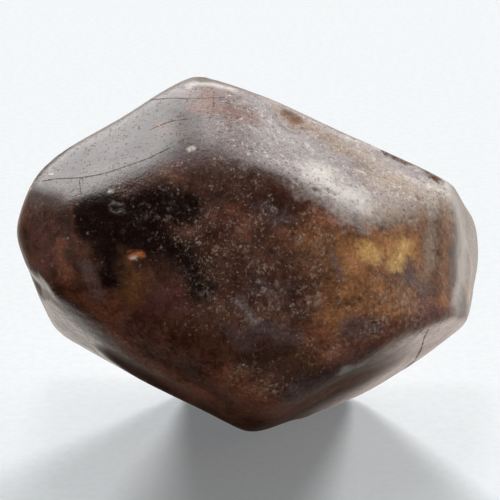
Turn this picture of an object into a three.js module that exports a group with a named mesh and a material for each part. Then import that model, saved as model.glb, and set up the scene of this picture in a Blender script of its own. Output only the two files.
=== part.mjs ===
// A water-worn zircon crystal, one solid: a short prism closed by pyramid faces, its edges rubbed
// round in river gravel, lying on a worn flat. Millimetres, +Z up, with the origin under the middle
// of the stone at the height of the flat. -Y is the broad prism face, +X the longer way to the right.

import * as THREE from "three";
import { mergeVertices } from "three/addons/utils/BufferGeometryUtils.js";

// Driving dimensions
const HEART_HEIGHT = 7.7; // height of the stone's heart, from which its faces are measured
const EDGE_SHARPNESS = 40; // how little the edges are worn: a higher number leaves them sharper
const MESH_STEPS = 18; // rows of triangles along each edge of the starting icosahedron, less one
const REACH = new THREE.Vector3(10.1, 6.2, 7.3); // half sizes, which spread the triangles evenly

// Each face points towards an azimuth (0 is -Y, 90 is +X) and a lift above level, in degrees, and
// lies at a distance from the heart.
const FACES = [
  { name: "front prism", azimuth: 3, lift: 14, distance: 4.75 },
  { name: "front right prism", azimuth: 44, lift: 21, distance: 6.4 },
  { name: "upper left pyramid", azimuth: -42, lift: 60, distance: 6.8 },
  { name: "upper right pyramid", azimuth: 47, lift: 57, distance: 5.3 },
  { name: "lower left pyramid", azimuth: -28, lift: -34, distance: 6.8 },
  { name: "lower right pyramid", azimuth: 45, lift: -46, distance: 7.2 },
  { name: "left end", azimuth: -46, lift: 10, distance: 8.75 },
  { name: "right end", azimuth: 77, lift: 7, distance: 8.65 },
  { name: "left heel", azimuth: -51, lift: -41, distance: 7.45 },
  { name: "right heel", azimuth: 87, lift: -40, distance: 9.85 },
  { name: "under left", azimuth: -58, lift: -61, distance: 7.45 },
  { name: "under right", azimuth: 82, lift: -62, distance: 9.05 },
  { name: "left shoulder", azimuth: -118, lift: 30, distance: 9.9 },
  { name: "left back", azimuth: -102, lift: 20, distance: 9.5 },
  { name: "left back heel", azimuth: -78, lift: -19, distance: 9.4 },
  { name: "upper left back", azimuth: -122, lift: 51, distance: 7.6 },
  { name: "upper right back", azimuth: 136, lift: 56, distance: 5.95 },
  { name: "right shoulder", azimuth: 120, lift: 46, distance: 8.75 },
  { name: "right back", azimuth: 105, lift: 4, distance: 11.8 },
  { name: "back prism", azimuth: 180, lift: 0, distance: 6.6 },
  { name: "lower back", azimuth: 175, lift: -45, distance: 7.2 },
];

// Places where the edges are worn rounder than EDGE_SHARPNESS. Each faces an [azimuth, lift] seen
// from the heart, starts at one cosine from it and is worn down to its own sharpness by the other.
const WORN = [
  { name: "upper front edge", toward: [12, 46], sharpness: 18, start: 0.6, full: 0.9 },
  { name: "lower left of the front", toward: [-14, -10], sharpness: 14, start: 0.85, full: 0.98 },
  { name: "right of the front", toward: [24, 8], sharpness: 12, start: 0.82, full: 0.97 },
];

// Hollows and swellings of the worn surface. Each runs between two directions seen from the heart,
// given as [azimuth, lift], reaches a radius to both sides, and is so deep, or high where negative.
const HOLLOWS = [
  { name: "heel notch", from: [-70, -5], to: [-80, -8], radius: 0.8, depth: 0.3 },
  { name: "bruise on the top edge", from: [94, 76], to: [89, 73], radius: 0.9, depth: 0.3 },
  { name: "broken ledge at the top right", from: [95, 33], to: [92, 20], radius: 0.7, depth: 0.2 },
  { name: "scoop under the upper edge", from: [0, 39], to: [24, 32], radius: 1.2, depth: 0.26 },
  { name: "scoop low on the front", from: [1, -27], to: [19, -30], radius: 1.0, depth: 0.26 },
  { name: "hollow by the left edge", from: [-53, 15], to: [-49, 4], radius: 1.5, depth: 0.2 },
  { name: "swelling under the frosted band", from: [42, 42], to: [52, 28], radius: 1.6, depth: -0.16 },
  { name: "swelling low in the middle", from: [-17, -17], to: [13, -21], radius: 1.7, depth: -0.16 },
  { name: "knob on the right end", from: [98, -8], to: [89, -15], radius: 1.3, depth: -0.2 },
  { name: "dip in the back", from: [150, 12], to: [172, -4], radius: 2.6, depth: 0.2 },
  { name: "chip on the back edge", from: [-168, 38], to: [-150, 34], radius: 1.1, depth: 0.25 },
];

// Slow waves that leave no face quite flat: a height, a wavelength and a direction each.
const WAVES = [
  { height: 0.022, length: 5.3, along: new THREE.Vector3(0.8, 0.3, 0.5).normalize() },
  { height: 0.02, length: 3.7, along: new THREE.Vector3(-0.4, 0.5, 0.77).normalize() },
  { height: 0.014, length: 2.6, along: new THREE.Vector3(0.6, -0.6, 0.53).normalize() },
];

function direction(azimuth, lift) {
  const turn = THREE.MathUtils.degToRad(azimuth);
  const rise = THREE.MathUtils.degToRad(lift);
  const level = Math.cos(rise);
  return new THREE.Vector3(Math.sin(turn) * level, -Math.cos(turn) * level, Math.sin(rise));
}

const faces = FACES.map(({ azimuth, lift, distance }) => ({ normal: direction(azimuth, lift), distance }));
const wornSpots = WORN.map((spot) => ({ ...spot, axis: direction(...spot.toward) }));

function edgeSharpness(toward) {
  let least = EDGE_SHARPNESS;
  for (const { axis, sharpness, start, full } of wornSpots) {
    const wear = THREE.MathUtils.smoothstep(toward.dot(axis), start, full);
    least = Math.min(least, THREE.MathUtils.lerp(EDGE_SHARPNESS, sharpness, wear));
  }
  return least;
}

// Distance from the heart to the worn crystal along a unit direction. The faces join as the terms
// of a high power sum do, which is flat between the edges and round along them.
function crystalRadius(toward) {
  const power = edgeSharpness(toward);
  let sum = 0;
  for (const { normal, distance } of faces) {
    sum += (Math.max(0, normal.dot(toward)) / distance) ** power;
  }
  return sum ** (-1 / power);
}

function crystalPoint(toward) {
  return toward.clone().multiplyScalar(crystalRadius(toward));
}

const hollows = HOLLOWS.map(({ from, to, radius, depth }) => ({
  spine: new THREE.Line3(crystalPoint(direction(...from)), crystalPoint(direction(...to))),
  radius,
  depth,
}));

function hollowDepth(point) {
  const nearest = new THREE.Vector3();
  let depth = 0;
  for (const hollow of hollows) {
    hollow.spine.closestPointToPoint(point, true, nearest);
    const reach = point.distanceTo(nearest) / hollow.radius;
    if (reach < 1) depth += hollow.depth * (1 - reach ** 2) ** 2;
  }
  return depth;
}

function waveHeight(point) {
  let height = 0;
  for (const wave of WAVES) {
    height += wave.height * Math.sin((2 * Math.PI * point.dot(wave.along)) / wave.length);
  }
  return height;
}

// The point of the finished stone in a direction from the heart, stopped at the flat it lies on.
function stonePoint(toward) {
  const point = crystalPoint(toward);
  const radius = point.length() - hollowDepth(point) + waveHeight(point);
  point.copy(toward).multiplyScalar(radius);
  if (point.z < -HEART_HEIGHT) point.multiplyScalar(-HEART_HEIGHT / point.z);
  return point;
}

function stoneGeometry() {
  let geometry = new THREE.IcosahedronGeometry(1, MESH_STEPS);
  geometry.deleteAttribute("normal");
  geometry.deleteAttribute("uv");
  geometry = mergeVertices(geometry, 1e-4);
  const position = geometry.getAttribute("position");
  const toward = new THREE.Vector3();
  for (let i = 0; i < position.count; i += 1) {
    toward.fromBufferAttribute(position, i).multiply(REACH).normalize();
    const point = stonePoint(toward);
    position.setXYZ(i, point.x, point.y, point.z);
  }
  geometry.computeBoundingBox();
  const middle = geometry.boundingBox.getCenter(new THREE.Vector3());
  geometry.translate(-middle.x, -middle.y, HEART_HEIGHT);
  geometry.computeVertexNormals();
  return geometry;
}

const zircon = new THREE.MeshStandardMaterial({ color: 0x3a2018, roughness: 0.35, metalness: 0 });
const crystal = new THREE.Mesh(stoneGeometry(), zircon);
crystal.name = "zircon_crystal";

const part = new THREE.Group();
part.add(crystal);

export default part;
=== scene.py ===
import math
from typing import NamedTuple

import bmesh
import bpy
import numpy as np
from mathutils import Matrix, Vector, noise
from mathutils.bvhtree import BVHTree


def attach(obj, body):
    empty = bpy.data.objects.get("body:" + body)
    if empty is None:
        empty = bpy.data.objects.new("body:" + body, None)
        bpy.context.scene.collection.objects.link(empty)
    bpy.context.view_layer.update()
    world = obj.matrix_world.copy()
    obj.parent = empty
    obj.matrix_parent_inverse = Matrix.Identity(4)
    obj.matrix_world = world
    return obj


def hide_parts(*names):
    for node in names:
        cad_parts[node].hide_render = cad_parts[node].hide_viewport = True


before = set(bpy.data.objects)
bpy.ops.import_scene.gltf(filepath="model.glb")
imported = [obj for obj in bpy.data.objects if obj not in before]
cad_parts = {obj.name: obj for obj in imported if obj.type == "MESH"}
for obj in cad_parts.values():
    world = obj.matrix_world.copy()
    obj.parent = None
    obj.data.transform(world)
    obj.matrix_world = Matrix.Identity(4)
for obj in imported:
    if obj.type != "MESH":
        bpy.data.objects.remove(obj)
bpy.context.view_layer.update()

bl_info = {
    "name": "Worn zircon crystal",
    "version": (1, 0, 0),
    "blender": (4, 5, 0),
    "location": "View3D > Sidebar > Zircon",
    "description": "Dresses a water-worn zircon crystal and sets the pale studio around it",
    "category": "Object",
}

MM = 0.001
NODE = "zircon_crystal"
CRYSTAL = "worn_zircon"
FLOOR = "floor"
IMAGE_PIXELS = 500
PIXELS_PER_MM = 23.1  # at the stone

# Marks of the worn stone, each by the picture's pixels that it runs through


class Mark(NamedTuple):
    """A stain, bloom, dent or worn edge along pixels of the stone, or a patch of painted light or shade
    there: its reach in mm, its strength.
    """

    name: str
    path: tuple
    reach: float
    strength: float


class Crack(NamedTuple):
    """A hairline through these pixels of the stone, and its width in mm."""

    name: str
    path: tuple
    width: float


INK = (
    Mark("pool under the upper left face", ((90, 214), (114, 224), (146, 230)), 1.8, 1.0),
    Mark("pool, right arm", ((132, 206), (165, 202), (188, 206)), 1.0, 0.9),
    Mark("pool, left foot", ((98, 245), (108, 274)), 0.9, 0.9),
    Mark("dark right of the pool", ((165, 240), (188, 262), (204, 284)), 1.2, 0.7),
)

# Umber: dark brown stain, and painted shade: the shadow under the scoop's lip and the marks named shade; the
# scoops and the apex are darker brown
UMBER_AND_SHADE = (
    Mark("scoop under the upper edge", ((256, 190), (285, 204), (306, 212)), 1.1, 0.25),
    Mark("lip of the scoop", ((268, 221), (290, 223), (308, 218)), 0.3, 0.7),
    Mark("under the apex", ((200, 170), (218, 172), (236, 180)), 1.1, 0.85),
    Mark("band under the apex", ((203, 192), (236, 197)), 0.5, 0.7),
    Mark("low scoop", ((250, 352), (285, 362), (310, 371)), 1.1, 1.0),
    Mark("cluster left of the windows", ((339, 236), (348, 249)), 0.45, 0.5),
    Mark("cluster over the windows", ((362, 238), (372, 241)), 0.35, 0.5),
    Mark("shade over the windows", ((346, 232), (362, 226), (382, 222)), 0.45, 0.4),
    Mark("shade right of the middle", ((300, 266), (318, 284)), 0.9, 0.5),
    Mark("shade low in the middle", ((281, 305), (302, 312)), 0.4, 0.8),
    Mark("left of the low scoop", ((190, 330), (215, 340)), 1.0, 0.35),
    Mark("right of the patch under the glint", ((142, 284), (152, 300)), 0.8, 0.6),
    Mark("upper left shade of the left end", ((36, 196), (48, 197), (62, 199)), 0.6, 0.9),
    Mark("shade by the left edge of the front", ((70, 244), (76, 264)), 0.6, 0.75),
)

RUSSET = (
    Mark("streak on the left end", ((58, 243), (64, 275), (74, 302)), 0.5, 0.6),
    Mark("orange streak on the left end", ((70, 206), (73, 222), (75, 238)), 0.35, 0.7),
    Mark("glow at the lower left", ((90, 304), (112, 322), (122, 346)), 1.3, 1.0),
    Mark("red by the scoop", ((316, 217), (340, 229)), 0.9, 0.75),
    Mark("red over the low edge", ((310, 336), (338, 346)), 1.1, 0.7),
    Mark("lower left", ((125, 330), (165, 352)), 1.5, 0.55),
    Mark("rim of the lower left", ((125, 347), (152, 368), (185, 386), (206, 398)), 1.2, 0.9),
    Mark("right corner", ((418, 316), (438, 309), (452, 304)), 1.0, 1.2),
    Mark("low right face", ((300, 408), (340, 386), (380, 368)), 1.4, 1.0),
    Mark("along the low right edge", ((330, 356), (372, 344), (412, 328)), 1.0, 1.0),
    Mark("red of the bottom", ((225, 385), (262, 408), (290, 414)), 1.7, 1.0),
    Mark("red of the middle", ((228, 208), (246, 236)), 0.9, 0.5),
    Mark("red right of the middle", ((280, 236), (300, 248)), 1.0, 0.35),
)

BLUSH = (
    Mark("under the crest", ((204, 100), (222, 108), (244, 116)), 1.2, 1.0),
    Mark("upper left face", ((158, 126), (178, 136)), 0.8, 0.45),
    Mark("by the hairline", ((88, 171), (114, 167)), 0.5, 0.45),
    Mark("left corner", ((54, 187), (76, 199)), 0.5, 0.5),
    Mark("crest", ((185, 92), (240, 98)), 0.7, 0.6),
)

# Ember: the painted orange glint where a small fracture shines, and a faint orange streak of the left end
EMBER_AND_GLINT = (
    Mark("orange glint", ((129, 256), (140, 253)), 0.27, 1.0),
    Mark("orange streak on the left end", ((70, 208), (73, 222)), 0.3, 0.3),
)

PLUM = (
    Mark("right corner", ((404, 325), (425, 315), (444, 309)), 0.65, 0.7),
    Mark("over the low edge", ((350, 348), (365, 332), (376, 318)), 0.8, 0.6),
    Mark("left of the middle", ((150, 306), (185, 296)), 1.3, 0.7),
    Mark("upper left end", ((36, 225), (46, 262)), 0.9, 0.7),
)

OLIVE = (
    Mark("patch under the glint", ((124, 270), (134, 282), (130, 294)), 1.0, 1.0),
    Mark("stripe by the pool", ((79, 212), (80, 238)), 0.3, 0.8),
    Mark("low scoop's right half", ((290, 356), (312, 364)), 0.5, 0.5),
)

# Honey: the stone's warm brown, and the painted glow of light through the stone round the windows and along
# the right strip
HONEY_AND_GLOW = (
    Mark("glow round the windows", ((350, 262), (385, 250), (410, 246)), 1.6, 1.1),
    Mark("glow under the windows", ((345, 286), (380, 288), (404, 290)), 1.4, 0.75),
    Mark("orange over the windows", ((371, 227), (383, 241)), 0.6, 0.9),
    Mark("right strip", ((446, 196), (446, 250), (444, 300)), 0.7, 0.75),
    Mark("band at the right", ((412, 222), (424, 246)), 0.6, 0.8),
    Mark("between the bands", ((420, 214), (424, 250), (422, 282)), 0.9, 0.75),
    Mark("wash on the right of the front", ((318, 240), (342, 262), (342, 310)), 2.0, 0.5),
    Mark("low right of the front", ((330, 322), (372, 308), (404, 312)), 1.1, 0.7),
    Mark("left of the right strip", ((430, 220), (432, 262), (428, 290)), 0.9, 0.55),
    Mark("knob on the right end", ((472, 258), (467, 298)), 0.7, 0.9),
)

# Amber windows: painted glow of light that passes through the clear parts of the stone
AMBER_GLOW = (
    Mark("left window", ((362, 252), (370, 255), (377, 258)), 0.55, 1.0),
    Mark("right window", ((396, 259), (401, 252), (405, 248)), 0.72, 1.15),
)

TAN = (
    Mark("band on the right", ((372, 178), (405, 188), (436, 198)), 1.9, 1.0),
    Mark("foot of the band", ((372, 208), (412, 214)), 0.95, 0.9),
    Mark("top edge", ((310, 128), (345, 148), (372, 158)), 0.9, 0.8),
    Mark("band by the right strip", ((430, 196), (431, 236), (428, 262)), 0.9, 0.95),
    Mark("round the bruise", ((278, 108), (300, 124), (316, 130)), 0.7, 1.0),
    Mark("upper right end", ((463, 205), (468, 225)), 0.7, 0.4),
    Mark("low right face", ((330, 392), (375, 372), (422, 350)), 1.3, 0.6),
)

LILAC = (
    Mark("upper right face", ((226, 138), (262, 148), (300, 160)), 1.9, 0.9),
    Mark("scuff in the scoop", ((256, 206), (284, 212)), 0.6, 0.8),
    Mark("slate patch", ((82, 268), (96, 294)), 0.8, 0.75),
    Mark("haze low on the left", ((172, 308), (224, 320)), 1.1, 0.1),
    Mark("haze on the lower left", ((130, 330), (165, 352), (195, 372)), 1.5, 0.5),
    Mark("scuff low in the middle", ((238, 302), (262, 320)), 0.7, 0.75),
    Mark("smooth low middle", ((238, 332), (296, 336)), 1.0, 0.75),
    Mark("left of the windows", ((332, 252), (338, 274)), 0.4, 0.8),
    Mark("between the windows", ((387, 260), (399, 274)), 0.4, 0.6),
    Mark("right of the windows", ((408, 268), (426, 290)), 1.0, 0.85),
    Mark("upper left end", ((36, 204), (41, 222)), 0.6, 0.55),
    Mark("hollow on the band", ((340, 164), (368, 186)), 0.7, 0.8),
    Mark("along the low right edge", ((292, 394), (325, 376), (372, 352)), 0.9, 0.9),
    Mark("haze over the low edge", ((345, 328), (380, 334)), 0.9, 0.8),
    Mark("haze right of the middle", ((256, 288), (290, 292)), 0.8, 0.6),
    Mark("haze of the bottom", ((225, 388), (262, 410), (292, 414)), 1.5, 0.4),
)

# Frost: white bloom and scuffs, and painted light: the lobe and the apex scuff are painted highlights, the
# specks at the left, under the apex and on the band and the glint in the orange are painted glints, and the
# bloom of the right end also paints its pale reflection
FROST_AND_HIGHLIGHTS = (
    Mark("lobe", ((320, 178), (338, 190), (354, 203)), 1.6, 1.0),
    Mark("streak over the lobe", ((297, 164), (311, 177)), 0.5, 0.75),
    Mark("streak on the face", ((304, 143), (313, 151)), 0.3, 0.6),
    Mark("apex scuff", ((192, 84), (228, 89)), 0.5, 0.8),
    Mark("top edge", ((345, 138), (378, 149)), 0.5, 0.6),
    Mark("patch on the band", ((400, 176), (438, 186)), 0.8, 0.5),
    Mark("corner of the band", ((428, 190), (433, 214)), 0.6, 0.55),
    Mark("right end", ((462, 200), (464, 235), (462, 270)), 1.3, 1.2),
    Mark("low right end", ((460, 270), (456, 304)), 0.8, 1.0),
    Mark("low chip", ((344, 370), (364, 364)), 0.5, 1.2),
    Mark("speck under the apex", ((190, 150), (194, 149)), 0.2, 1.0),
    Mark("scuff low in the middle", ((240, 304), (250, 312), (258, 319)), 0.25, 0.35),
    Mark("speck at the left ridge", ((109, 192), (112, 191)), 0.15, 1.0),
    Mark("speck at the left", ((48, 174), (51, 174)), 0.12, 1.0),
    Mark("speck at the left corner", ((30, 189), (32, 188)), 0.12, 1.0),
    Mark("blue speck on the band", ((359, 171), (363, 172)), 0.24, 1.0),
    Mark("specks over the windows", ((362, 230), (367, 233)), 0.3, 0.6),
    Mark("glint in the orange", ((131, 258), (134, 257)), 0.14, 1.0),
    Mark("line by the tip", ((313, 407), (321, 403)), 0.12, 0.8),
    Mark("rim of the round pit", ((109, 206), (114, 203), (124, 204)), 0.13, 0.45),
    Mark("low rim of the round pit", ((110, 210), (117, 212), (125, 209)), 0.13, 0.35),
)

RUST = (
    Mark("bruise on the top edge", ((288, 113), (296, 121)), 0.45, 1.0),
    Mark("stain under the bruise", ((306, 128), (328, 138)), 0.35, 0.45),
    Mark("under the ledge", ((386, 155), (405, 165)), 0.3, 0.6),
    Mark("spot on the upper hairline", ((188, 99), (192, 99)), 0.14, 0.9),
    Mark("spot on the rusty crack", ((155, 127), (160, 124)), 0.16, 0.9),
    Mark("pit under the band", ((296, 180), (297, 181)), 0.1, 1.0),
    Mark("pit on the lobe", ((315, 190), (316, 190)), 0.09, 1.0),
    Mark("small pit on the lobe", ((320, 193), (321, 193)), 0.07, 0.9),
    Mark("twin pit on the lobe", ((328, 191), (330, 192)), 0.08, 0.9),
    Mark("twin pit's neighbour", ((334, 194), (336, 195)), 0.08, 0.8),
    Mark("ring on the band", ((418, 198), (420, 200)), 0.13, 0.8),
    Mark("flecks on the low right face", ((364, 373), (386, 371)), 0.14, 0.8),
    Mark("flecks by the low right corner", ((424, 344), (417, 358)), 0.13, 0.8),
)

GRIT = (
    Mark("left of the middle", ((150, 210), (190, 238), (212, 300)), 2.2, 0.6),
    Mark("middle", ((222, 215), (250, 265), (272, 300)), 2.4, 0.65),
    Mark("right of the middle", ((310, 245), (360, 290), (410, 300)), 2.6, 0.7),
    Mark("low middle", ((245, 378), (295, 400)), 1.5, 0.9),
    Mark("along the low right edge", ((320, 352), (372, 340), (415, 322)), 1.2, 0.9),
    Mark("under the ridge", ((228, 160), (246, 176), (262, 190)), 0.8, 0.6),
    Mark("scoop", ((264, 208), (272, 214), (282, 215)), 0.6, 1.0),
    Mark("pool", ((100, 220), (150, 240)), 1.6, 0.25),
    Mark("band by the right strip", ((431, 204), (434, 240), (433, 262)), 0.6, 0.9),
    Mark("right strip", ((446, 210), (446, 290)), 0.5, 0.6),
    Mark("end of the hairline", ((172, 160), (184, 165)), 0.5, 1.0),
    Mark("scuff low in the middle", ((240, 303), (256, 317)), 0.6, 1.0),
    Mark("scuff right of the middle", ((306, 294), (322, 306)), 0.7, 1.0),
    Mark("scuff by the tip", ((282, 402), (291, 404)), 0.4, 1.0),
    Mark("specks over the windows", ((361, 230), (368, 233)), 0.4, 1.0),
    Mark("specks left of the windows", ((342, 228), (344, 245)), 0.4, 1.0),
    Mark("specks in the plum corner", ((385, 318), (395, 330)), 0.5, 0.9),
    Mark("specks under the windows", ((352, 282), (364, 286)), 0.4, 0.9),
    Mark("yellow clump", ((256, 284), (266, 296)), 0.6, 0.9),
)

CRACKS = (
    Crack(
        "long hairline", (
            (43, 181), (55, 179), (78, 178), (92, 176), (107, 173), (122, 168), (150, 158), (170, 148)),
        0.028),
    Crack("branch", ((79, 178), (80, 186), (81, 194)), 0.025),
    Crack("upper hairline", ((150, 100), (172, 98), (190, 99), (212, 98), (226, 97)), 0.02),
    Crack("rim of the upper left face", ((34, 181), (45, 168), (60, 155), (72, 146)), 0.06),
    Crack("line over the apex scuff", ((198, 77), (216, 78), (235, 83), (252, 91)), 0.05),
)

RUSTY_CRACKS = (
    Crack("crack on the upper left face", ((152, 129), (163, 124), (172, 121), (191, 119)), 0.025),
    Crack("upright crack", ((209, 121), (213, 108), (214, 98)), 0.03),
    Crack("crack under the crest", ((226, 103), (238, 106), (252, 111)), 0.04),
    Crack("top of the orange glint", ((125, 256), (133, 252), (142, 251)), 0.05),
    Crack(
        "crack by the low right corner", ((428, 330), (424, 338), (421, 350), (415, 360), (404, 370)), 0.03),
    Crack("ledge on the top edge", ((382, 150), (394, 155), (410, 162), (427, 171), (443, 183)), 0.1),
)

DENTS = (
    Mark("pit under the band", ((296, 180), (297, 181)), 0.15, 0.06),
    Mark("pit on the lobe", ((314, 190), (316, 191)), 0.14, 0.06),
    Mark("twin pit on the lobe", ((328, 191), (336, 195)), 0.13, 0.05),
    Mark("ring on the band", ((419, 198), (421, 200)), 0.2, 0.06),
    Mark("round pit", ((113, 208), (121, 207)), 0.26, 0.08),
    Mark("bruise", ((288, 113), (295, 120)), 0.4, 0.14),
    Mark("ledge", ((386, 153), (408, 164)), 0.24, 0.12),
    Mark("ledge, end", ((428, 175), (441, 183)), 0.22, 0.1),
    Mark("scoop over its lip", ((264, 211), (280, 215), (300, 212)), 0.6, 0.06),
    Mark("orange glint", ((128, 258), (137, 254)), 0.3, 0.06),
)

WORN_EDGES = (
    Mark("crest between the upper faces", ((213, 142), (216, 112), (214, 88)), 2.6, 1.0),
    Mark(
        "edge of the upper left face", ((112, 195), (132, 188), (155, 174), (180, 158), (207, 146)),
        1.2, 0.2),
    Mark("corner of the upper faces", ((196, 152), (213, 144), (232, 158)), 2.2, 0.9),
    Mark(
        "edge of the upper right face", ((232, 158), (260, 174), (290, 190), (350, 216), (385, 217)),
        2.2, 0.6),
    Mark("low right edge", ((395, 344), (345, 366), (310, 392), (290, 410)), 1.6, 0.35),
    Mark("bottom tip", ((262, 424), (290, 426)), 1.6, 0.5),
    Mark("left edge of the front", ((90, 236), (93, 262), (102, 296)), 1.8, 0.8),
    Mark("low left edge of the front", ((120, 300), (185, 334), (250, 376)), 1.8, 0.6),
    Mark("right edge of the front", ((385, 225), (362, 270), (340, 330)), 2.4, 0.8),
)

DULL = (
    Mark("rim of the lower left face", ((118, 362), (165, 389), (205, 410), (245, 428)), 1.4, 1.0),
    Mark("left of the low right face", ((268, 428), (300, 410), (330, 392)), 4.4, 1.0),
    Mark("left corner", ((36, 196), (58, 199)), 0.6, 0.5),
    Mark("left of the crest", ((182, 112), (184, 150)), 1.2, 0.3),
    Mark("right of the crest", ((226, 100), (236, 136)), 1.3, 0.45),
    Mark("under the top edge", ((300, 128), (345, 150), (362, 166)), 0.8, 0.35),
)

COARSE = (
    Mark(
        "foot of the upper left face", ((70, 192), (100, 190), (130, 180), (165, 162), (192, 145)),
        1.2, 0.55),
    Mark("crest between the upper faces", ((205, 132), (214, 112), (240, 108)), 1.9, 1.0),
    Mark("head of the upper right face", ((235, 140), (275, 150), (310, 165)), 1.8, 0.4),
    Mark("band", ((320, 150), (370, 170), (420, 185)), 2.0, 0.4),
)

# Colour layers: stains, and painted glow, glints, highlights and shade
STAINS_AND_PAINTED_LIGHT = {
    "russet": RUSSET, "plum": PLUM, "umber_and_shade": UMBER_AND_SHADE, "olive": OLIVE, "honey_and_glow": HONEY_AND_GLOW, "ink": INK,
    "blush": BLUSH, "tan": TAN, "lilac": LILAC, "amber_glow": AMBER_GLOW, "ember_and_glint": EMBER_AND_GLINT, "frost_and_highlights": FROST_AND_HIGHLIGHTS,
    "rust": RUST,
}


class UnseenStain(NamedTuple):
    """A stain of the hidden sides: its colour, its noise, the level that starts it and its most cover."""

    colour: str
    seed: float
    per_mm: float
    start: float
    most: float


UNSEEN_STAINS = (
    UnseenStain("russet", 53.0, 0.3, 0.44, 0.4),
    UnseenStain("ink", 59.0, 0.35, 0.46, 0.5),
    UnseenStain("honey_and_glow", 61.0, 0.4, 0.54, 0.3),
    UnseenStain("tan", 67.0, 0.35, 0.5, 0.22),
)
UNSEEN_FADE = 0.22  # noise levels from the start of such a stain to its most cover

# Faces of the crystal, as azimuth from the camera's side and lift in degrees
UPPER_LEFT = (-42, 60)
UPPER_RIGHT = (47, 57)
LEFT_END = (-46, 10)
LOWER_RIGHT = (45, -46)
RIGHT_END = (77, 7)
LEFT_HEEL = (-51, -41)
GROWTH_LINES = (0.84, 0.03, 0.54)  # the way that the lower right face is lined


def direction(azimuth, lift):
    turn, rise = math.radians(azimuth), math.radians(lift)
    return np.array((math.sin(turn) * math.cos(rise), -math.cos(turn) * math.cos(rise), math.sin(rise)))


# Settings that a user would change


def colour(name, default, description):
    return bpy.props.FloatVectorProperty(
        name=name, description=description, subtype="COLOR", size=3, min=0.0, max=1.0, default=default)


def length(name, default_mm, description):
    return bpy.props.FloatProperty(
        name=name, description=description, subtype="DISTANCE", unit="LENGTH", default=default_mm * MM)


def number(name, default, description):
    return bpy.props.FloatProperty(name=name, description=description, default=default)


class ZirconLook(bpy.types.PropertyGroup):
    """Colours and surface sizes of the crystal; some colours are painted glow, glints, highlights, sheen and
    shade.
    """

    body_dark: colour("Body, dark", (0.028, 0.0085, 0.004), "Deep red-brown of the crystal")
    body_brown: colour("Body, brown", (0.066, 0.0252, 0.0144), "Lighter brown mottling of the crystal")
    ink: colour("Ink", (0.006, 0.0012, 0.0006), "Nearly black depths")
    # Umber: dark brown, also used for painted shade
    umber_and_shade: colour("Umber", (0.032, 0.0125, 0.0075), "Dark brown of the hollows")
    russet: colour("Russet", (0.15, 0.05, 0.027), "Red-brown glow and blush")
    plum: colour("Plum", (0.06, 0.017, 0.015), "Purple-red stain")
    olive: colour("Olive", (0.066, 0.024, 0.007), "Yellow-brown depth")
    # Honey: warm brown, also the painted glow of light through the stone
    honey_and_glow: colour("Honey", (0.29, 0.122, 0.043), "Warm glow round the windows")
    # Amber: painted glow of light through the stone's clear windows
    amber_glow: colour("Amber", (0.53, 0.325, 0.11), "Clear amber windows")
    tan: colour("Tan", (0.21, 0.15, 0.105), "Dusty band of the upper right face")
    lilac: colour("Lilac", (0.08, 0.055, 0.056), "Purplish haze of fine scratches")
    slate: colour("Slate", (0.02, 0.013, 0.012), "Depth under the gloss of the upper left face")
    # Dust: grey dust of the upper right face, which also paints part of its grey sheen
    dust_and_sheen: colour("Dust", (0.145, 0.128, 0.13), "Grey dust of the upper right face")
    # Frost: white bloom, also the colour of the painted highlights and glints
    frost_and_highlights: colour("Frost", (0.38, 0.345, 0.315), "White bloom and scuffs")
    blush: colour("Blush", (0.105, 0.046, 0.033), "Pinkish stain of the upper faces")
    # Ember: the colour of the painted orange glint and of an orange streak
    ember_and_glint: colour("Ember", (0.28, 0.085, 0.025), "Orange glint")
    rust: colour("Rust", (0.11, 0.045, 0.016), "Iron stain in cracks and pits")
    chalk: colour("Chalk", (0.36, 0.29, 0.23), "Pale grains")
    swell: length("Swell", 0.05, "Height of the slow unevenness of the faces")
    grain: length("Grain", 0.02, "Height of the fine unevenness")
    pit: length("Pits", 0.03, "Depth of the scattered pits")
    wear: bpy.props.IntProperty(
        name="Wear", description="How often the worn edges are rubbed down", default=160, min=0)


class ZirconStage(bpy.types.PropertyGroup):
    """Camera, floor and lights round the crystal."""

    elevation: bpy.props.FloatProperty(
        name="Camera elevation", description="Height of the camera above level", subtype="ANGLE",
        default=math.radians(18.0))
    lens: number("Lens", 150.0, "Focal length on a 36 mm sensor")
    frame_width: length("Frame width", IMAGE_PIXELS / PIXELS_PER_MM, "Width of the picture at the stone")
    target: bpy.props.FloatVectorProperty(
        name="Target", description="Point in the middle of the picture", subtype="TRANSLATION",
        unit="LENGTH", default=(-0.3 * MM, -0.4 * MM, 7.5 * MM))
    left_softbox: number("Left softbox", 5.0, "Radiance of the softbox that the upper left face mirrors")
    right_softbox: number("Right softbox", 4.8, "Radiance of the softbox that the upper right face mirrors")
    fill: number("Fill", 7.0, "Radiance of the low fill light on the camera's side, which leaves no gloss")
    high_lamp: number("High lamp", 0.34, "Light of the high lamp behind, which shines on the floor alone")
    low_left_lamp: number("Low left lamp", 15.2, "Light of a low lamp behind, which grazes the floor alone")
    low_right_lamp: number(
        "Low right lamp", 11.4, "Light of a low lamp at the right, which grazes the floor alone")
    wall: number("Wall", 1.45, "Radiance of the bright wall behind")
    floor: colour("Floor", (0.82, 0.85, 0.87), "Colour of the paper that the stone lies on")
    floor_glow: number("Floor glow", 0.2, "Light that comes through the paper from below")


SENSOR_WIDTH = 36.0


def camera_axes(stage):
    """Right, up and backward axes of the picture, and the camera's place, as arrays."""
    rise = stage.elevation
    right = np.array((1.0, 0.0, 0.0))
    up = np.array((0.0, math.sin(rise), math.cos(rise)))
    back = np.array((0.0, -math.cos(rise), math.sin(rise)))
    distance = stage.frame_width * stage.lens / SENSOR_WIDTH
    return right, up, back, np.array(stage.target) + back * distance


def pixels_per_unit(stage):
    return IMAGE_PIXELS * stage.lens / SENSOR_WIDTH


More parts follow.
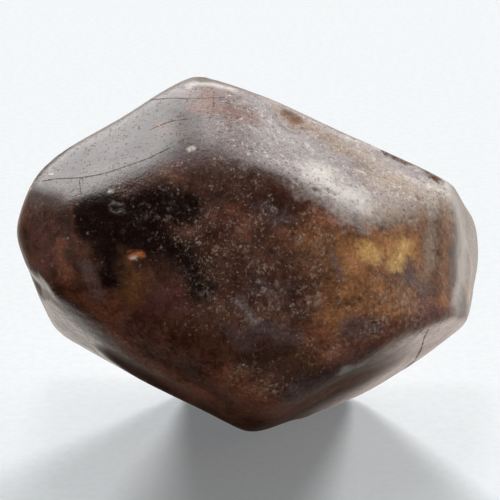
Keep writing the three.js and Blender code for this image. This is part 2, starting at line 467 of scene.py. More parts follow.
class Picture:
    """Casts the picture's pixels onto a mesh, and finds the pixel of a point."""

    def __init__(self, stage, mesh):
        self.right, self.up, self.back, self.eye = camera_axes(stage)
        self.focal = pixels_per_unit(stage)
        self.depth = np.linalg.norm(self.eye - np.array(stage.target))
        self.tree = BVHTree.FromPolygons(
            [v.co.copy() for v in mesh.vertices], [tuple(p.vertices) for p in mesh.polygons])

    def cast(self, pixel):
        """The place on the stone at a pixel, or the nearest to it for a pixel just off the outline."""
        half = IMAGE_PIXELS / 2
        ray = (pixel[0] - half) * self.right - (pixel[1] - half) * self.up - self.focal * self.back
        ray = Vector(ray).normalized()
        hit = self.tree.ray_cast(Vector(self.eye), ray)[0]
        if hit is None:
            hit = self.tree.find_nearest(Vector(self.eye) + ray * self.depth)[0]
        return np.array(hit)

    def pixel(self, points):
        half = IMAGE_PIXELS / 2
        away = points - self.eye
        depth = -(away @ self.back)
        return half + self.focal * (away @ self.right) / depth, half - self.focal * (away @ self.up) / depth


# Marks as numbers at the mesh's points


def smooth(value):
    value = np.clip(value, 0.0, 1.0)
    return value * value * (3 - 2 * value)


def distance_to_path(points, path):
    nearest = np.full(len(points), np.inf)
    for start, end in zip(path[:-1], path[1:]):
        run = end - start
        along = np.clip(((points - start) @ run) / max(run @ run, 1e-18), 0, 1)
        nearest = np.minimum(nearest, np.linalg.norm(points - start - along[:, None] * run, axis=1))
    return nearest


BEND_SEED = 3  # without it, Blender seeds this noise from the clock


def noise_vectors(points, period):
    """A smooth random vector at each point, of lengths up to about 1, that varies over a period in mm."""
    noise.seed_set(BEND_SEED)
    return np.array([noise.noise_vector(Vector(point)) for point in points / (period * MM)])


class Bends(NamedTuple):
    """Wide and narrow wanderings, by which a mark's outline leaves its path."""

    wide: np.ndarray
    narrow: np.ndarray


def mark_weight(points, picture, mark, bends=None):
    """The mark's strength along its path, falling evenly to nothing at its reach."""
    path = [picture.cast(pixel) for pixel in mark.path]
    if bends:
        points = points + MM * (
            min(0.45 * mark.reach, 0.5) * bends.wide + min(0.35 * mark.reach, 0.2) * bends.narrow)
    return mark.strength * np.clip(1 - distance_to_path(points, path) / (mark.reach * MM), 0, 1)


def strongest(points, picture, marks, bends=None):
    weight = np.zeros(len(points))
    for mark in marks:
        weight = np.maximum(weight, mark_weight(points, picture, mark, bends))
    return weight


def face_weight(normals, face, inner=14, outer=30):
    """1 where the surface looks along a face's own direction, 0 beyond the outer angle in degrees."""
    near, far = math.cos(math.radians(inner)), math.cos(math.radians(outer))
    return smooth((normals @ direction(*face) - far) / (near - far))


CRACK_FADE = 6.0  # pixels over which a crack's depth fades beside its path


def crack_field(points, normals, picture, cracks):
    """Signed distance across the nearest crack in crack widths, and how much of a crack is there."""
    spots = np.stack(picture.pixel(points), 1)
    pixel_size = np.linalg.norm(picture.eye - points.mean(0)) / picture.focal
    nearest = np.full(len(points), np.inf)
    offset = np.full(len(points), np.inf)
    depth = np.zeros(len(points))
    for crack in cracks:
        path = np.array(crack.path, float)
        for index, (start, end) in enumerate(zip(path[:-1], path[1:])):
            run = end - start
            along = ((spots - start) @ run) / (run @ run)
            gap = spots - start - np.clip(along, 0, 1)[:, None] * run
            away = np.hypot(*gap.T)
            side = np.sign(run[0] * gap[:, 1] - run[1] * gap[:, 0])
            beyond = np.maximum(-along if index == 0 else 0, along - 1 if index == len(path) - 2 else 0)
            closer = away < nearest
            nearest = np.where(closer, away, nearest)
            offset = np.where(closer, side * away * pixel_size / (crack.width * MM), offset)
            depth = np.where(closer, 1 - smooth(beyond * np.hypot(*run) / 2), depth)
    shown = smooth(normals @ picture.back * 8) * smooth(2 - nearest / CRACK_FADE)
    return np.clip(offset, -9, 9), depth * shown


# Nodes


class Wiring:
    """Adds nodes to a tree, with numbers or other nodes' outputs as their inputs."""

    def __init__(self, tree):
        self.tree = tree

    def node(self, kind, **settings):
        node = self.tree.nodes.new(kind)
        for name, value in settings.items():
            setattr(node, name, value)
        return node

    def feed(self, socket, value):
        if isinstance(value, bpy.types.NodeSocket):
            self.tree.links.new(value, socket)
        elif socket.type == "RGBA":
            socket.default_value = (*value, 1.0)
        else:
            socket.default_value = value

    def math(self, operation, first, second=0.0, clamp=False):
        node = self.node("ShaderNodeMath", operation=operation, use_clamp=clamp)
        self.feed(node.inputs[0], first)
        self.feed(node.inputs[1], second)
        return node.outputs[0]

    def dot(self, vector, axis):
        node = self.node("ShaderNodeVectorMath", operation="DOT_PRODUCT")
        self.feed(node.inputs[0], vector)
        node.inputs[1].default_value = axis
        return node.outputs["Value"]

    def product(self, *values):
        result = values[0]
        for value in values[1:]:
            result = self.math("MULTIPLY", result, value)
        return result

    def total(self, *values):
        result = values[0]
        for value in values[1:]:
            result = self.math("ADD", result, value)
        return result

    def step(self, value, low, high, start=0.0, end=1.0):
        node = self.node("ShaderNodeMapRange", interpolation_type="SMOOTHSTEP")
        for socket, number_in in zip(node.inputs, (value, low, high, start, end)):
            self.feed(socket, number_in)
        return node.outputs[0]

    def mix(self, factor, first, second, blend="MIX"):
        node = self.node("ShaderNodeMix", data_type="RGBA", blend_type=blend, clamp_factor=True)
        self.feed(node.inputs[0], factor)
        self.feed(node.inputs[6], first)
        self.feed(node.inputs[7], second)
        return node.outputs[2]

    def noise(self, vector, scale, detail=2.0, roughness=0.5, warp=0.0, seed=0.0):
        node = self.node("ShaderNodeTexNoise", noise_dimensions="4D")
        self.feed(node.inputs["Vector"], vector)
        node.inputs["W"].default_value = seed
        node.inputs["Scale"].default_value = scale
        node.inputs["Detail"].default_value = detail
        node.inputs["Roughness"].default_value = roughness
        node.inputs["Distortion"].default_value = warp
        return node.outputs[0]

    def cells(self, vector, scale):
        """Distance to the nearest cell middle, and a random number for the cell."""
        node = self.node("ShaderNodeTexVoronoi")
        self.feed(node.inputs["Vector"], vector)
        node.inputs["Scale"].default_value = scale
        split = self.node("ShaderNodeSeparateXYZ")
        self.feed(split.inputs[0], node.outputs["Color"])
        return node.outputs["Distance"], split.outputs[0]

    def in_mm(self, vector):
        """A vector of metres, in millimetres."""
        node = self.node("ShaderNodeVectorMath", operation="SCALE")
        self.feed(node.inputs[0], vector)
        node.inputs["Scale"].default_value = 1 / MM
        return node.outputs[0]

    def bent(self, vector, scale, amount):
        """The vector, led astray by up to about half an amount."""
        node = self.node("ShaderNodeTexNoise")
        self.feed(node.inputs["Vector"], vector)
        node.inputs["Scale"].default_value = scale
        node.inputs["Detail"].default_value = 3.0
        stray = self.node("ShaderNodeVectorMath", operation="MULTIPLY_ADD")
        self.feed(stray.inputs[0], node.outputs["Color"])
        stray.inputs[1].default_value = (amount,) * 3
        self.feed(stray.inputs[2], vector)
        return stray.outputs[0]

    def flakes(self, vector, per_mm, crowd, seed):
        """Ragged flakes of all sizes up to their spacing, in a share of the places."""
        drift = self.node("ShaderNodeVectorMath", operation="ADD")
        self.feed(drift.inputs[0], self.bent(vector, 1.6 * per_mm, 1.1 / per_mm))
        drift.inputs[1].default_value = (seed,) * 3
        spot, chance = self.cells(drift.outputs[0], per_mm)
        least = self.math("SUBTRACT", 1.0, crowd)
        size = self.math("DIVIDE", self.math("SUBTRACT", chance, least), self.math("MAXIMUM", crowd, 0.05))
        size = self.math("MULTIPLY", self.math("MAXIMUM", size, 0.0), 0.5)
        return self.step(self.math("SUBTRACT", size, spot), -0.1, 0.08)


# The crystal's shape


def merged_copy(name):
    """The CAD node's mesh with its loose triangles joined, as a new object."""
    shape = bmesh.new()
    shape.from_mesh(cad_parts[name].data)
    bmesh.ops.remove_doubles(shape, verts=shape.verts, dist=1e-3 * MM)
    mesh = bpy.data.meshes.new(name)
    shape.to_mesh(mesh)
    shape.free()
    copy = bpy.data.objects.new(CRYSTAL, mesh)
    bpy.context.scene.collection.objects.link(copy)
    return copy


def make_plain(piece):
    """Replaces a piece's mesh by what its modifiers give, and removes them."""
    bpy.context.view_layer.update()
    graph = bpy.context.evaluated_depsgraph_get()
    mesh = bpy.data.meshes.new_from_object(piece.evaluated_get(graph), depsgraph=graph)
    piece.modifiers.clear()
    piece.data = mesh
    return mesh


def mesh_arrays(mesh):
    points = np.empty(len(mesh.vertices) * 3)
    normals = np.empty(len(mesh.vertices) * 3)
    mesh.vertices.foreach_get("co", points)
    mesh.vertices.foreach_get("normal", normals)
    return points.reshape(-1, 3), normals.reshape(-1, 3)


def store(mesh, name, values):
    mesh.attributes.new(name, "FLOAT", "POINT").data.foreach_set("value", values.astype(np.float32))


FACE_LAYERS = {
    "upper_left": UPPER_LEFT, "upper_right": UPPER_RIGHT, "left_end": LEFT_END, "lower_right": LOWER_RIGHT,
}
SMOOTH_FACES = (UPPER_LEFT, LOWER_RIGHT, RIGHT_END, LEFT_HEEL)


def mark_mesh(mesh, stage):
    """Writes each layer of marks to the mesh's points."""
    picture = Picture(stage, mesh)
    points, normals = mesh_arrays(mesh)
    bends = Bends(noise_vectors(points, 1.1), noise_vectors(points, 0.35))
    for name, marks in STAINS_AND_PAINTED_LIGHT.items():
        store(mesh, name, strongest(points, picture, marks, bends))
    store(mesh, "grit", strongest(points, picture, GRIT, bends))
    store(mesh, "dull", strongest(points, picture, DULL))
    store(mesh, "coarse", strongest(points, picture, COARSE))
    store(mesh, "unseen", smooth(-4 * (normals @ picture.back)))
    for name, cracks in (("crack", CRACKS), ("rusty_crack", RUSTY_CRACKS)):
        offset, depth = crack_field(points, normals, picture, cracks)
        store(mesh, name, offset)
        store(mesh, name + "_depth", depth)
    relief = np.zeros(len(points))
    for mark in DENTS:
        share = mark_weight(points, picture, mark) / mark.strength
        relief = np.minimum(relief, -MM * mark.strength * smooth(share))
    store(mesh, "relief", relief)
    for name, face in FACE_LAYERS.items():
        store(mesh, name, face_weight(normals, face))
    store(mesh, "calm", np.max([face_weight(normals, face) for face in SMOOTH_FACES], axis=0))


def wear_edges(piece, look, stage):
    """Rubs the worn edges down by smoothing them, most along the middle of each."""
    points, _ = mesh_arrays(piece.data)
    weights = np.minimum(1, 1.4 * strongest(points, Picture(stage, piece.data), WORN_EDGES))
    group = piece.vertex_groups.new(name="worn_edges")
    for index in np.flatnonzero(weights):
        group.add([int(index)], float(weights[index]), "REPLACE")
    rubbing = piece.modifiers.new("rubbing", "SMOOTH")
    rubbing.factor = 0.5
    rubbing.iterations = look.wear
    rubbing.vertex_group = group.name
    make_plain(piece)
    piece.vertex_groups.clear()


def subdivide(piece):
    """One round of subdivision, made plain."""
    rounding = piece.modifiers.new("rounding", "SUBSURF")
    rounding.levels = rounding.render_levels = 1
    return make_plain(piece)


def named(w, name):
    node = w.node("GeometryNodeInputNamedAttribute", data_type="FLOAT")
    node.inputs["Name"].default_value = name
    return node.outputs[0]


def stored(w, geometry, name, value):
    node = w.node("GeometryNodeStoreNamedAttribute", data_type="FLOAT", domain="POINT")
    w.feed(node.inputs["Geometry"], geometry)
    node.inputs["Name"].default_value = name
    w.feed(node.inputs["Value"], value)
    return node.outputs[0]


def weathering_tree(material):
    """Geometry nodes that roughen the stone: slow swells, fine grain, pits and the placed dents."""
    tree = bpy.data.node_groups.new("weathering", "GeometryNodeTree")
    face = tree.interface
    face.new_socket("Geometry", in_out="INPUT", socket_type="NodeSocketGeometry")
    sizes = {}
    for name in ("Swell", "Grain", "Pits"):
        sizes[name] = face.new_socket(name, in_out="INPUT", socket_type="NodeSocketFloat").identifier
    face.new_socket("Geometry", in_out="OUTPUT", socket_type="NodeSocketGeometry")

    w = Wiring(tree)
    start = w.node("NodeGroupInput")
    mm = w.in_mm(w.node("GeometryNodeInputPosition").outputs[0])

    lively = w.step(named(w, "calm"), 0.0, 0.9, 1.0, 0.15)
    swell = w.math("SUBTRACT", w.noise(mm, 0.55, 3.0), 0.5)
    grain = w.product(w.math("SUBTRACT", w.noise(mm, 2.6, 4.0, 0.65), 0.5), lively)
    spot, chance = w.cells(mm, 1.7)
    pit = w.product(w.step(spot, 0.34, 0.05), w.step(chance, 0.62, 0.9), lively)
    height = w.total(
        w.product(swell, start.outputs["Swell"]), w.product(grain, start.outputs["Grain"]),
        w.product(pit, start.outputs["Pits"], -1.0), named(w, "relief"))

    push = w.node("ShaderNodeVectorMath", operation="SCALE")
    w.feed(push.inputs[0], w.node("GeometryNodeInputNormal").outputs[0])
    w.feed(push.inputs["Scale"], height)
    moved = w.node("GeometryNodeSetPosition")
    w.feed(moved.inputs["Geometry"], start.outputs["Geometry"])
    w.feed(moved.inputs["Offset"], push.outputs[0])
    pitted = stored(w, moved.outputs[0], "pit", pit)

    floor = w.node("ShaderNodeVectorMath", operation="MAXIMUM")
    w.feed(floor.inputs[0], w.node("GeometryNodeInputPosition").outputs[0])
    floor.inputs[1].default_value = (-1.0, -1.0, 0.0)
    resting = w.node("GeometryNodeSetPosition")
    w.feed(resting.inputs["Geometry"], pitted)
    w.feed(resting.inputs["Position"], floor.outputs[0])

    whole = w.node("GeometryNodeRealizeInstances")
    w.feed(whole.inputs[0], resting.outputs[0])
    dressed = w.node("GeometryNodeSetMaterial")
    w.feed(dressed.inputs["Geometry"], whole.outputs[0])
    dressed.inputs["Material"].default_value = material
    w.feed(w.node("NodeGroupOutput").inputs[0], dressed.outputs[0])
    return tree, sizes


# The crystal's finish


class ZirconFinish(Wiring):
    """The crystal's shader: body colour, stains, painted glow, glints, highlights, sheen and shade, grains,
    cracks, growth lines and their noises.
    """

    def __init__(self, tree, look):
        super().__init__(tree)
        self.look = look
        self.mm = self.in_mm(self.node("ShaderNodeTexCoord").outputs["Object"])
        # Each colour layer: a stain or a patch of painted light or shade
        self.stain = {name: self.layer(name) for name in STAINS_AND_PAINTED_LIGHT}
        self.face = {name: self.layer(name) for name in FACE_LAYERS}
        self.calm = self.layer("calm")
        self.coarse = self.layer("coarse")
        self.unseen = self.layer("unseen")
        self.cloud = self.noise(self.mm, 0.5, 4.0, 0.6)
        self.patch = self.noise(self.mm, 1.0, 4.0, 0.6, 0.8, seed=3.0)
        self.mottle = self.noise(self.mm, 2.0, 5.0, 0.7)
        self.gravel = self.noise(self.mm, 5.0, 4.0, 0.7)
        self.fine = self.noise(self.mm, 10.0, 3.0, 0.65)

    def layer(self, name):
        return self.node("ShaderNodeAttribute", attribute_name=name).outputs["Fac"]

    def tinted(self, base, name, share):
        """The base colour under a share of one of the look's colours."""
        return self.mix(share, base, tuple(getattr(self.look, name)))

    def shaded(self, base, pattern, low, high, dark, light):
        """The base colour, darkened and lightened by a noise."""
        return self.mix(1.0, base, self.step(pattern, low, high, dark, light), "MULTIPLY")

    def cover(self, name, ragged, low, high):
        """A stain's cover, or that of a patch of painted light or shade: its weight broken up by the noises
        and cut between two levels.
        """
        stain = self.stain[name]
        broken = self.total(
            stain, self.product(self.math("SUBTRACT", self.mottle, 0.5), ragged),
            self.product(self.math("SUBTRACT", self.gravel, 0.5), ragged))
        return self.product(self.step(broken, low, high), self.step(stain, 0.0, 0.2))

    # Lays colour layers on the base colour: stains, and painted glow, glints, highlights and shade
    def stained(self, base, *covers):
        for name, ragged, low, high in covers:
            base = self.tinted(base, name, self.cover(name, ragged, low, high))
        return base

    def body(self):
        """The red-brown body with its mottling and the stains that lie deep in it, with painted shade among
        the umber marks and painted glow of light through the stone among the honey marks.
        """
        depth = self.total(
            self.product(self.cloud, 0.35), self.product(self.patch, 0.4), self.product(self.mottle, 0.25))
        base = self.mix(
            self.step(depth, 0.36, 0.64), tuple(self.look.body_dark), tuple(self.look.body_brown))
        purple = self.noise(self.mm, 0.7, 3.0, 0.6, 0.5, seed=7.0)
        base = self.tinted(base, "plum", self.step(purple, 0.5, 0.7, 0.0, 0.6))
        yellow = self.noise(self.mm, 0.9, 3.0, 0.6, 0.5, seed=11.0)
        base = self.tinted(base, "olive", self.step(yellow, 0.52, 0.7, 0.0, 0.6))
        # Stains, with painted shade among the umber marks and painted glow among the honey marks
        base = self.stained(
            base, ("russet", 0.6, 0.0, 1.0), ("plum", 0.7, 0.05, 0.9), ("umber_and_shade", 0.7, 0.05, 0.8),
            ("olive", 0.6, 0.05, 0.8), ("honey_and_glow", 0.5, 0.0, 1.15))
        base = self.shaded(base, self.patch, 0.35, 0.65, 0.85, 1.15)
        base = self.shaded(base, self.gravel, 0.3, 0.7, 0.8, 1.22)
        return self.stained(base, ("ink", 0.5, 0.0, 0.62))

    def upper_faces(self, base):
        """The two upper faces' own colours with painted sheen in the grey dust, and the stains that lie near
        the surface, among them the painted glow of the amber windows, the painted orange glint and painted
        highlights among the frost.
        """
        right = self.face["upper_right"]
        base = self.tinted(base, "slate", self.product(self.face["upper_left"], 0.85))
        # Grey dust with painted sheen on the upper right face
        base = self.tinted(base, "dust_and_sheen", self.product(right, self.step(self.mottle, 0.3, 0.65, 0.4, 0.9)))
        # Stains near the surface, with the painted glow of the amber windows and the painted orange glint
        base = self.stained(
            base, ("blush", 0.9, 0.1, 1.0), ("tan", 1.3, 0.0, 1.2), ("lilac", 1.0, 0.1, 1.2),
            ("amber_glow", 0.7, 0.05, 1.2), ("ember_and_glint", 0.8, 0.1, 0.9))
        rusty = self.step(self.noise(self.mm, 3.0, 5.0, 0.75, seed=41.0), 0.5, 0.66, 0.0, 0.6)
        base = self.tinted(base, "rust", self.product(rusty, right))
        base = self.shaded(base, self.noise(self.mm, 7.0, 4.0, 0.8, seed=43.0), 0.3, 0.7, 0.66, 1.34)
        speckled = self.product(self.noise(self.mm, 4.0, 6.0, 0.8, 0.5, seed=47.0), right)
        base = self.tinted(base, "frost_and_highlights", self.step(speckled, 0.52, 0.62, 0.0, 0.6))
        # Frost bloom and scuffs with painted highlights and glints, and rust
        return self.stained(base, ("frost_and_highlights", 0.8, 0.05, 1.1), ("rust", 0.9, 0.1, 0.8))

    def unseen_sides(self, base):
        """Stains of the sides that the picture does not show, in random places."""
        for stain in UNSEEN_STAINS:
            place = self.noise(self.mm, stain.per_mm, 5.0, 0.62, 0.6, seed=stain.seed)
            share = self.step(place, stain.start, stain.start + UNSEEN_FADE, 0.0, stain.most)
            base = self.tinted(base, stain.colour, self.product(share, self.unseen))
        return base

    def pale_grains(self):
        """Where pale rubble, flakes and curled scratches lie: thick in some places, rare in others."""
        bare = self.math("MAXIMUM", self.face["upper_left"], self.stain["frost_and_highlights"])
        crowd = self.total(self.layer("grit"), self.product(self.unseen, 0.3), 0.15)
        crowd = self.product(
            crowd, self.step(self.patch, 0.3, 0.65, 0.5, 1.1), self.step(bare, 0.1, 0.6, 1.0, 0.0))
        rubble = self.total(
            self.noise(self.mm, 5.0, 6.0, 0.85, 0.3, seed=31.0), self.product(crowd, 0.1))
        rubble = self.product(self.step(rubble, 0.58, 0.69), self.step(crowd, 0.0, 0.4, 0.3, 1.0))
        large = self.flakes(self.mm, 3.2, self.product(crowd, 0.1), 0.0)
        small = self.flakes(self.mm, 7.0, self.product(crowd, 0.3), 5.0)
        flake = self.product(self.math("MAXIMUM", large, small), self.step(self.fine, 0.35, 0.6, 0.2, 0.8))
        curl = self.math("SUBTRACT", self.noise(self.mm, 3.0, 3.0, 0.6, 0.8), 0.5)
        curl = self.step(self.math("ABSOLUTE", curl), 0.02, 0.004)
        curl = self.product(curl, self.step(self.cloud, 0.42, 0.6), crowd)
        pale = self.math("MAXIMUM", self.math("MAXIMUM", flake, rubble), self.product(curl, 0.6))
        return self.product(pale, self.step(self.stain["ink"], 0.3, 0.9, 1.0, 0.25))

    def powdered(self, base, pale):
        """The base colour under its pale grains, some of them tan and some chalk."""
        paler = self.step(self.noise(self.mm, 1.5, 2.0, seed=17.0), 0.4, 0.62)
        powder = self.mix(paler, tuple(self.look.tan), tuple(self.look.chalk))
        return self.mix(self.product(pale, 0.58), base, powder)

    def pricks(self):
        """Where the two upper faces have dark pricks."""
        upper = self.math("MAXIMUM", self.face["upper_left"], self.face["upper_right"])
        crowd = self.total(self.step(self.patch, 0.35, 0.65, 0.3, 0.6), self.product(self.coarse, 0.3))
        crowd = self.product(self.step(upper, 0.0, 0.5), crowd)
        prick = self.flakes(self.mm, 8.0, crowd, 23.0)
        return self.product(prick, self.step(self.fine, 0.35, 0.6, 0.4, 1.0))

    def crack_lines(self, name, faintest):
        """Where a layer of cracks shows, broken up by a noise down to its faintest."""
        across = self.math("ABSOLUTE", self.layer(name))
        edge = self.step(self.fine, 0.3, 0.7, 0.7, 1.6)
        line = self.product(self.step(across, edge, 0.3), self.layer(name + "_depth"))
        return self.product(line, self.step(self.gravel, 0.38, 0.58, faintest, 1.0))

    def growth_lines(self):
        """Where the lower right face is lined, along its upper edge."""
        along = Vector(GROWTH_LINES)
        outward = Vector(direction(*LOWER_RIGHT))
        place = self.node("ShaderNodeCombineXYZ")
        self.feed(place.inputs[0], self.product(self.dot(self.mm, along), 0.35))
        self.feed(place.inputs[1], self.product(self.dot(self.mm, along.cross(outward)), 5.0))
        streak = self.noise(place.outputs[0], 1.0, 3.0, 0.6)
        return self.product(self.step(streak, 0.45, 0.6), self.face["lower_right"])


def crystal_material(look):
    material = bpy.data.materials.new("worn_zircon")
    material.use_nodes = True
    material.node_tree.nodes.clear()
    w = ZirconFinish(material.node_tree, look)
    pale = w.pale_grains()
    prick = w.pricks()
    crack = w.crack_lines("crack", 0.5)
    rusty_crack = w.crack_lines("rusty_crack", 0.0)
    lines = w.math("MAXIMUM", crack, rusty_crack)
    lined = w.growth_lines()

    base = w.powdered(w.unseen_sides(w.upper_faces(w.body())), pale)
    # Pricks, pits and cracks darker in umber, rusty cracks in olive
    base = w.tinted(base, "umber_and_shade", w.product(prick, 0.55))
    base = w.tinted(base, "umber_and_shade", w.product(w.layer("pit"), 0.25))
    base = w.tinted(base, "umber_and_shade", crack)
    base = w.tinted(base, "olive", rusty_crack)
    base = w.tinted(base, "tan", w.product(lined, 0.2))

    # Gloss: most on the calm faces, least on frost and painted highlights, tan bloom, grains, pricks, cracks
    # and dull marks
    bloom = w.math("MAXIMUM", w.stain["frost_and_highlights"], w.product(w.stain["tan"], 0.7))
    rough = w.total(
        w.step(w.mottle, 0.3, 0.7, 0.3, 0.42), w.product(w.calm, -0.1), w.product(bloom, 0.25),
        w.product(w.face["left_end"], 0.1), w.product(pale, 0.2), w.product(prick, 0.35),
        w.product(lines, 0.5), w.product(w.layer("dull"), 0.8))

    # Fine unevenness, in millimetres
    still = w.math("MAXIMUM", w.calm, w.step(w.stain["ink"], 0.1, 0.8))
    tooth = w.total(w.step(still, 0.0, 0.9, 0.018, 0.008), w.product(w.coarse, 0.05))
    height = w.total(
        w.product(w.gravel, tooth), w.product(w.fine, tooth, 0.5), w.product(w.mottle, tooth, 0.8),
        w.product(prick, -0.004), w.product(lines, -0.02), w.product(pale, 0.006), w.product(lined, 0.004))
    bump = w.node("ShaderNodeBump")
    bump.inputs["Strength"].default_value = 1.0
    bump.inputs["Distance"].default_value = MM
    w.feed(bump.inputs["Height"], height)

    shader = w.node("ShaderNodeBsdfPrincipled")
    shader.inputs["IOR"].default_value = 1.5
    w.feed(shader.inputs["Base Color"], base)
    w.feed(shader.inputs["Roughness"], w.math("MINIMUM", rough, 0.95))
    w.feed(shader.inputs["Normal"], bump.outputs[0])
    w.feed(w.node("ShaderNodeOutputMaterial").inputs["Surface"], shader.outputs[0])
    return material


class ZIRCON_OT_crystal(bpy.types.Operator):
    """Make the worn crystal: smooth the solid, mark it, weather it and give it its finish"""

    bl_idname = "zircon.crystal"
    bl_label = "Worn crystal"

    def execute(self, context):
        look, stage = context.scene.zircon_look, context.scene.zircon_stage
        crystal = merged_copy(NODE)
        subdivide(crystal)
        wear_edges(crystal, look, stage)
        mark_mesh(subdivide(crystal), stage)

        tree, sizes = weathering_tree(crystal_material(look))
        weathering = crystal.modifiers.new("weathering", "NODES")
        weathering.node_group = tree
        for name, value in (("Swell", look.swell), ("Grain", look.grain), ("Pits", look.pit)):
            weathering[sizes[name]] = value
        mesh = make_plain(crystal)
        mesh.shade_smooth()
        if not mesh.materials:
            raise RuntimeError("the weathered stone has no material")

        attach(crystal, "root")
        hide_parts(NODE)
        return {"FINISHED"}


# The stage

FLOOR_HALF = 1.0  # metres from the middle of the floor to its sides
FLOOR_DROP = 0.02 * MM  # gap under the stone's flat, so that the two never share a plane
ROOM_GLOW = 0.0015  # radiance of the dark room round the camera


class Softbox(NamedTuple):
    """A rectangular light: its middle and its size, in mm."""

    middle: tuple
    size: tuple


class FloorLamp(NamedTuple):
    """A far lamp behind the stone: its turn to the right, its lift and its width as seen, in degrees."""

    turn: float
    lift: float
    width: float


LEFT_SOFTBOX = Softbox((-84, 55, 90), (152, 190))
RIGHT_SOFTBOX = Softbox((67, 55, 90), (106, 170))
FILL = Softbox((-20, -140, 30), (100, 50))
HIGH_LAMP = FloorLamp(-8, 54, 16)
LOW_LEFT_LAMP = FloorLamp(-10, 5, 6)
LOW_RIGHT_LAMP = FloorLamp(20, 5, 6)


def floor_material(stage):
    """Pale paper with a fine tooth, faintly lit from below."""
    material = bpy.data.materials.new("pale_paper")
    material.use_nodes = True
    w = Wiring(material.node_tree)
    paper = w.tree.nodes["Principled BSDF"]
    tooth = w.noise(w.in_mm(w.node("ShaderNodeTexCoord").outputs["Object"]), 2.2, 4.0, 0.7)
    pale = tuple(stage.floor)
    toothed = w.mix(w.step(tooth, 0.35, 0.65), tuple(0.94 * part for part in pale), pale)
    w.feed(paper.inputs["Base Color"], toothed)
    paper.inputs["Roughness"].default_value = 0.9
    paper.inputs["Specular IOR Level"].default_value = 0.0
    w.feed(paper.inputs["Emission Color"], pale)
    paper.inputs["Emission Strength"].default_value = stage.floor_glow
    return material


def floor(stage):
    half = FLOOR_HALF
    corners = [(-half, -half, 0), (half, -half, 0), (half, half, 0), (-half, half, 0)]
    mesh = bpy.data.meshes.new("floor")
    mesh.from_pydata(corners, [], [(0, 1, 2, 3)])
    mesh.materials.append(floor_material(stage))
    sheet = bpy.data.objects.new(FLOOR, mesh)
    sheet.location.z = -FLOOR_DROP
    bpy.context.scene.collection.objects.link(sheet)
    sheet.visible_glossy = sheet.visible_diffuse = False


def light(name, data, lit):
    """A light that shines on one object alone."""
    lamp = bpy.data.objects.new(name, data)
    bpy.context.scene.collection.objects.link(lamp)
    reached = bpy.data.collections.new(name + "_reaches")
    reached.objects.link(bpy.data.objects[lit])
    lamp.light_linking.receiver_collection = reached
    return lamp


def softbox(name, radiance, box, facing=None):
    """A soft light on the stone that faces a place in metres, or straight down."""
    middle = Vector(box.middle) * MM
    if facing is None:
        facing = (middle.x, middle.y, 0.0)
    data = bpy.data.lights.new(name, "AREA")
    data.shape = "RECTANGLE"
    data.size, data.size_y = (side * MM for side in box.size)
    data.energy = radiance * math.pi * data.size * data.size_y
    lamp = light(name, data, CRYSTAL)
    lamp.location = middle
    lamp.rotation_euler = (middle - Vector(facing)).to_track_quat("Z", "Y").to_euler()
    return lamp


def floor_lamp(name, strength, lamp):
    data = bpy.data.lights.new(name, "SUN")
    data.energy = strength
    data.angle = math.radians(lamp.width)
    toward = Vector(direction(180 - lamp.turn, lamp.lift))
    light(name, data, FLOOR).rotation_euler = toward.to_track_quat("Z", "Y").to_euler()


def surroundings(stage):
    """A bright wall behind that reaches below the floor, brightest low at the right, in a dark room."""
    world = bpy.data.worlds.new("studio")
    bpy.context.scene.world = world
    world.use_nodes = True
    tree = world.node_tree
    tree.nodes.clear()
    w = Wiring(tree)
    split = w.node("ShaderNodeSeparateXYZ")
    w.feed(split.inputs[0], w.node("ShaderNodeTexCoord").outputs["Generated"])
    across, away, height = (split.outputs[axis] for axis in "XYZ")

    slanted = w.total(away, w.product(across, 0.6))
    turned = w.total(away, w.product(w.math("MAXIMUM", across, 0.0), 0.45))
    wall = w.product(w.step(slanted, 0.1, 0.45), w.step(turned, 0.45, 0.66), w.step(height, 0.6, 0.4))
    below = w.step(height, -0.35, -0.55)
    lower_right = w.product(w.step(across, 0.12, 0.4), below)
    right = w.product(w.step(across, 0.28, 0.42), w.step(height, -0.5, -0.35))
    left = w.step(across, -0.05, -0.3, 0.0, 0.18)
    share = w.total(0.64, left, w.product(lower_right, 0.75), w.product(right, 0.3))
    rosy = w.product(w.step(across, -0.05, 0.2), below)

    shade = w.node("ShaderNodeBackground")
    w.feed(shade.inputs["Color"], w.mix(rosy, (1.0, 0.935, 0.86), (1.0, 0.85, 0.78)))
    w.feed(shade.inputs["Strength"], w.total(w.product(wall, share, stage.wall), ROOM_GLOW))
    w.feed(w.node("ShaderNodeOutputWorld").inputs["Surface"], shade.outputs[0])


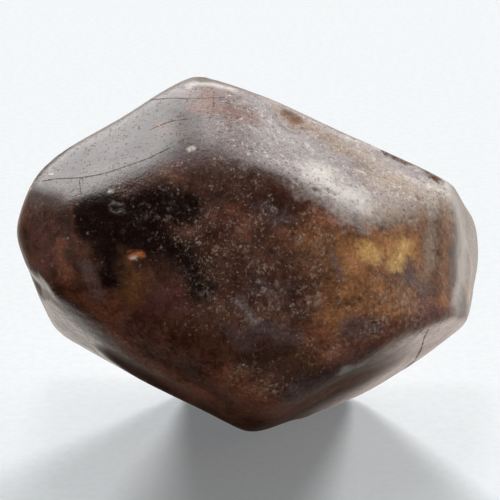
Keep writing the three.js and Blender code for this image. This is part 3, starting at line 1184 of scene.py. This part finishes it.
def camera(stage):
    _, _, back, eye = camera_axes(stage)
    data = bpy.data.cameras.new("camera")
    data.lens, data.sensor_width = stage.lens, SENSOR_WIDTH
    data.clip_start, data.clip_end = 0.005, 5.0
    view = bpy.data.objects.new("camera", data)
    view.location = eye
    view.rotation_euler = Vector(back).to_track_quat("Z", "Y").to_euler()
    bpy.context.scene.collection.objects.link(view)
    bpy.context.scene.camera = view


class ZIRCON_OT_stage(bpy.types.Operator):
    """Make the pale floor, the soft light, the surroundings and the camera"""

    bl_idname = "zircon.stage"
    bl_label = "Studio"

    def execute(self, context):
        stage = context.scene.zircon_stage
        context.scene.view_settings.view_transform = "Standard"
        floor(stage)
        softbox("left_softbox", stage.left_softbox, LEFT_SOFTBOX)
        softbox("right_softbox", stage.right_softbox, RIGHT_SOFTBOX)
        softbox("fill", stage.fill, FILL, stage.target).visible_glossy = False
        floor_lamp("high_lamp", stage.high_lamp, HIGH_LAMP)
        floor_lamp("low_left_lamp", stage.low_left_lamp, LOW_LEFT_LAMP)
        floor_lamp("low_right_lamp", stage.low_right_lamp, LOW_RIGHT_LAMP)
        surroundings(stage)
        camera(stage)
        return {"FINISHED"}


class ZIRCON_PT_panel(bpy.types.Panel):
    """Lists the crystal's settings and steps in the sidebar"""

    bl_label = "Worn zircon crystal"
    bl_idname = "ZIRCON_PT_panel"
    bl_space_type = "VIEW_3D"
    bl_region_type = "UI"
    bl_category = "Zircon"

    def draw(self, context):
        for step in (ZIRCON_OT_stage, ZIRCON_OT_crystal):
            self.layout.operator(step.bl_idname)
        for settings in (context.scene.zircon_look, context.scene.zircon_stage):
            for name in settings.bl_rna.properties.keys():
                if name not in ("rna_type", "name"):
                    self.layout.prop(settings, name)


CLASSES = (ZirconLook, ZirconStage, ZIRCON_OT_crystal, ZIRCON_OT_stage, ZIRCON_PT_panel)


def register():
    for item in CLASSES:
        bpy.utils.register_class(item)
    bpy.types.Scene.zircon_look = bpy.props.PointerProperty(type=ZirconLook)
    bpy.types.Scene.zircon_stage = bpy.props.PointerProperty(type=ZirconStage)


def unregister():
    del bpy.types.Scene.zircon_stage
    del bpy.types.Scene.zircon_look
    for item in reversed(CLASSES):
        bpy.utils.unregister_class(item)


def main():
    register()
    bpy.ops.zircon.crystal()
    bpy.ops.zircon.stage()


if __name__ == "__main__":
    main()
